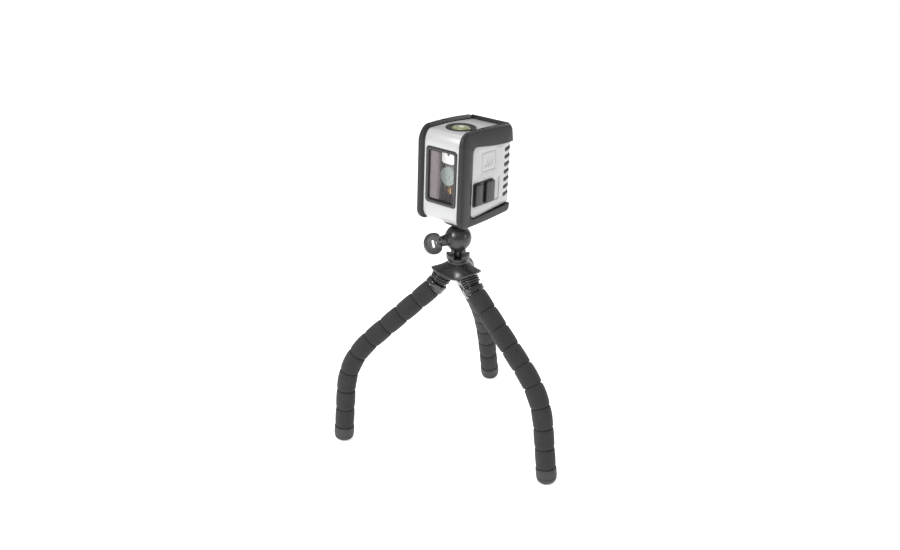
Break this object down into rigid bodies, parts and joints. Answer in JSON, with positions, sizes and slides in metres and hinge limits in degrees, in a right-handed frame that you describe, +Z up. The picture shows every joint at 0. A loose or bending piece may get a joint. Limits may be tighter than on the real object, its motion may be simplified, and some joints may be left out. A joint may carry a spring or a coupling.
{
  "type": "laser level on tripod",
  "caption": "Compact self-levelling cross-line laser on a ball-head tripod with bendable foam-covered legs and rubber feet.",
  "frame": {"origin": "on the ground, under the middle of the whole object's bounding box", "axes": "+Z up; the laser's window faces -Y, turned about 40 degrees towards -X; the head leans 2 degrees towards +X"},
  "size_m": [0.1998, 0.2097, 0.298],
  "materials": {
    "foam": "matte black foam rubber",
    "foot_rubber": "matte dark grey rubber",
    "black_plastic": "satin black plastic",
    "gloss_black": "glossy black plastic",
    "charcoal_rubber": "matte charcoal rubber over-moulding",
    "silver_plastic": "light silver-grey painted plastic, satin",
    "window_glass": "tinted window, glossy",
    "vial": "yellow-green bubble vial",
    "white_plastic": "white plastic",
    "brass": "turned brass",
    "copper": "copper plate",
    "steel": "steel",
    "zinc": "pale grey-green cast metal",
    "circuit_board": "green circuit board"
  },
  "bodies": {
    "crown": {"crown_hub": "black_plastic"},
    "lock_ring": {"lock_ring": "black_plastic"},
    "head_base": {"ball_housing": "black_plastic"},
    "clamp_knob": {"clamp_knob": "black_plastic"},
    "ball_stud": {"ball_stud": "black_plastic", "top_plate": "black_plastic", "camera_screw": "steel"},
    "leg_1_root": {"leg_1_neck": "black_plastic", "leg_1_ferrule": "gloss_black", "leg_1_foam_1": "foam", "leg_1_core_wire": "steel"},
    "leg_1_bend_1": {"leg_1_foam_2": "foam"},
    "leg_1_bend_2": {"leg_1_foam_3": "foam"},
    "leg_1_bend_3": {"leg_1_foam_4": "foam"},
    "leg_1_bend_4": {"leg_1_foam_5": "foam", "leg_1_foot": "foot_rubber"},
    "leg_2_root": {"leg_2_neck": "black_plastic", "leg_2_ferrule": "gloss_black", "leg_2_foam_1": "foam", "leg_2_core_wire": "steel"},
    "leg_2_bend_1": {"leg_2_foam_2": "foam"},
    "leg_2_bend_2": {"leg_2_foam_3": "foam"},
    "leg_2_bend_3": {"leg_2_foam_4": "foam"},
    "leg_2_bend_4": {"leg_2_foam_5": "foam", "leg_2_foot": "foot_rubber"},
    "leg_3_root": {"leg_3_neck": "black_plastic", "leg_3_ferrule": "gloss_black", "leg_3_foam_1": "foam", "leg_3_core_wire": "steel"},
    "leg_3_bend_1": {"leg_3_foam_2": "foam"},
    "leg_3_bend_2": {"leg_3_foam_3": "foam"},
    "leg_3_bend_3": {"leg_3_foam_4": "foam"},
    "leg_3_bend_4": {"leg_3_foam_5": "foam", "leg_3_foot": "foot_rubber"},
    "laser": {"front_shell": "silver_plastic", "right_bumper": "charcoal_rubber", "left_bumper": "charcoal_rubber", "right_side_panel": "silver_plastic", "left_side_panel": "silver_plastic", "rear_cover": "charcoal_rubber", "window_bezel": "gloss_black", "front_window": "window_glass", "vial_bezel": "black_plastic", "bubble_vial": "vial", "base_boss": "charcoal_rubber", "tripod_insert": "brass", "chassis_plate": "black_plastic", "gimbal_yoke": "white_plastic", "copper_damper": "copper", "circuit_board": "circuit_board", "battery_1": "steel", "battery_2": "steel"},
    "lock_slider": {"lock_slider": "black_plastic", "lock_lever": "black_plastic"},
    "battery_door": {"battery_door": "charcoal_rubber"},
    "gimbal_ring": {"gimbal_ring": "steel"},
    "pendulum": {"pendulum_body": "zinc", "laser_module_upper": "zinc", "laser_module_lower": "brass", "damping_magnet": "steel"}
  },
  "joints": [
    {"name": "lock_ring_turn", "type": "hinge", "parent": "crown", "child": "lock_ring", "pos_m": [0.01287, -0.01704, 0.18], "axis": [0, 0, 1], "continuous": true},
    {"name": "head_pan", "type": "hinge", "parent": "crown", "child": "head_base", "pos_m": [0.01287, -0.01704, 0.18], "axis": [0, 0, 1], "continuous": true},
    {"name": "clamp_knob_turn", "type": "hinge", "parent": "head_base", "child": "clamp_knob", "pos_m": [0.01287, -0.01704, 0.1974], "axis": [-0.7771, -0.6293, 0], "continuous": true},
    {"name": "head_tilt", "type": "hinge", "parent": "head_base", "child": "ball_stud", "pos_m": [0.01287, -0.01704, 0.1974], "axis": [-0.6293, 0.7771, 0], "range_deg": [-10, 75]},
    {"name": "laser_turn", "type": "hinge", "parent": "ball_stud", "child": "laser", "pos_m": [0.01344, -0.01704, 0.21459], "axis": [0.0332, 0, 0.9995], "continuous": true},
    {"name": "lock_slider_slide", "type": "slide", "parent": "laser", "child": "lock_slider", "axis": [0.6357, 0.7716, -0.0211], "range_m": [0, 0.008]},
    {"name": "battery_door_hinge", "type": "hinge", "parent": "laser", "child": "battery_door", "pos_m": [0.03926, 0.01383, 0.22564], "axis": [-0.7712, 0.6361, 0.0256], "range_deg": [0, 110]},
    {"name": "gimbal_roll", "type": "hinge", "parent": "laser", "child": "gimbal_ring", "pos_m": [0.01312, -0.01981, 0.27413], "axis": [0.6357, 0.7716, -0.0211], "range_deg": [-4, 4]},
    {"name": "pendulum_pitch", "type": "hinge", "parent": "gimbal_ring", "child": "pendulum", "pos_m": [0.01312, -0.01981, 0.27413], "axis": [0.7712, -0.6361, -0.0256], "range_deg": [-4, 4]},
    {"name": "leg_1_swing", "type": "hinge", "parent": "crown", "child": "leg_1_root", "pos_m": [0.00172, -0.01774, 0.16684], "axis": [-0.0628, 0.998, 0], "range_deg": [-10, 11]},
    {"name": "leg_1_bend_1", "type": "hinge", "parent": "leg_1_root", "child": "leg_1_bend_1", "pos_m": [-0.03703, -0.02018, 0.12584], "axis": [-0.0628, 0.998, 0], "range_deg": [-10, 14], "deforming": ["leg_1_core_wire"]},
    {"name": "leg_1_bend_2", "type": "hinge", "parent": "leg_1_bend_1", "child": "leg_1_bend_2", "pos_m": [-0.06499, -0.02194, 0.10087], "axis": [-0.0628, 0.998, 0], "range_deg": [-10, 14]},
    {"name": "leg_1_bend_3", "type": "hinge", "parent": "leg_1_bend_2", "child": "leg_1_bend_3", "pos_m": [-0.08525, -0.02321, 0.06982], "axis": [-0.0628, 0.998, 0], "range_deg": [-10, 14]},
    {"name": "leg_1_bend_4", "type": "hinge", "parent": "leg_1_bend_3", "child": "leg_1_bend_4", "pos_m": [-0.09041, -0.02354, 0.03275], "axis": [-0.0628, 0.998, 0], "range_deg": [-10, 14]},
    {"name": "leg_2_swing", "type": "hinge", "parent": "crown", "child": "leg_2_root", "pos_m": [0.02078, -0.02512, 0.16693], "axis": [-0.7145, -0.6997, 0], "range_deg": [-10, 11]},
    {"name": "leg_2_bend_1", "type": "hinge", "parent": "leg_2_root", "child": "leg_2_bend_1", "pos_m": [0.0477, -0.05261, 0.12559], "axis": [-0.7145, -0.6997, 0], "range_deg": [-10, 14], "deforming": ["leg_2_core_wire"]},
    {"name": "leg_2_bend_2", "type": "hinge", "parent": "leg_2_bend_1", "child": "leg_2_bend_2", "pos_m": [0.0672, -0.07252, 0.10048], "axis": [-0.7145, -0.6997, 0], "range_deg": [-10, 14]},
    {"name": "leg_2_bend_3", "type": "hinge", "parent": "leg_2_bend_2", "child": "leg_2_bend_3", "pos_m": [0.08234, -0.08797, 0.07031], "axis": [-0.7145, -0.6997, 0], "range_deg": [-10, 14]},
    {"name": "leg_2_bend_4", "type": "hinge", "parent": "leg_2_bend_3", "child": "leg_2_bend_4", "pos_m": [0.08695, -0.09269, 0.03347], "axis": [-0.7145, -0.6997, 0], "range_deg": [-10, 14]},
    {"name": "leg_3_swing", "type": "hinge", "parent": "crown", "child": "leg_3_root", "pos_m": [0.0163, -0.00566, 0.16729], "axis": [0.9573, -0.289, 0], "range_deg": [-10, 11]},
    {"name": "leg_3_bend_1", "type": "hinge", "parent": "leg_3_root", "child": "leg_3_bend_1", "pos_m": [0.027, 0.02977, 0.12464], "axis": [0.9573, -0.289, 0], "range_deg": [-10, 14], "deforming": ["leg_3_core_wire"]},
    {"name": "leg_3_bend_2", "type": "hinge", "parent": "leg_3_bend_1", "child": "leg_3_bend_2", "pos_m": [0.03455, 0.05477, 0.09772], "axis": [0.9573, -0.289, 0], "range_deg": [-10, 14]},
    {"name": "leg_3_bend_3", "type": "hinge", "parent": "leg_3_bend_2", "child": "leg_3_bend_3", "pos_m": [0.04057, 0.0747, 0.06661], "axis": [0.9573, -0.289, 0], "range_deg": [-10, 14]},
    {"name": "leg_3_bend_4", "type": "hinge", "parent": "leg_3_bend_3", "child": "leg_3_bend_4", "pos_m": [0.04467, 0.0883, 0.03192], "axis": [0.9573, -0.289, 0], "range_deg": [-10, 14]}
  ]
}
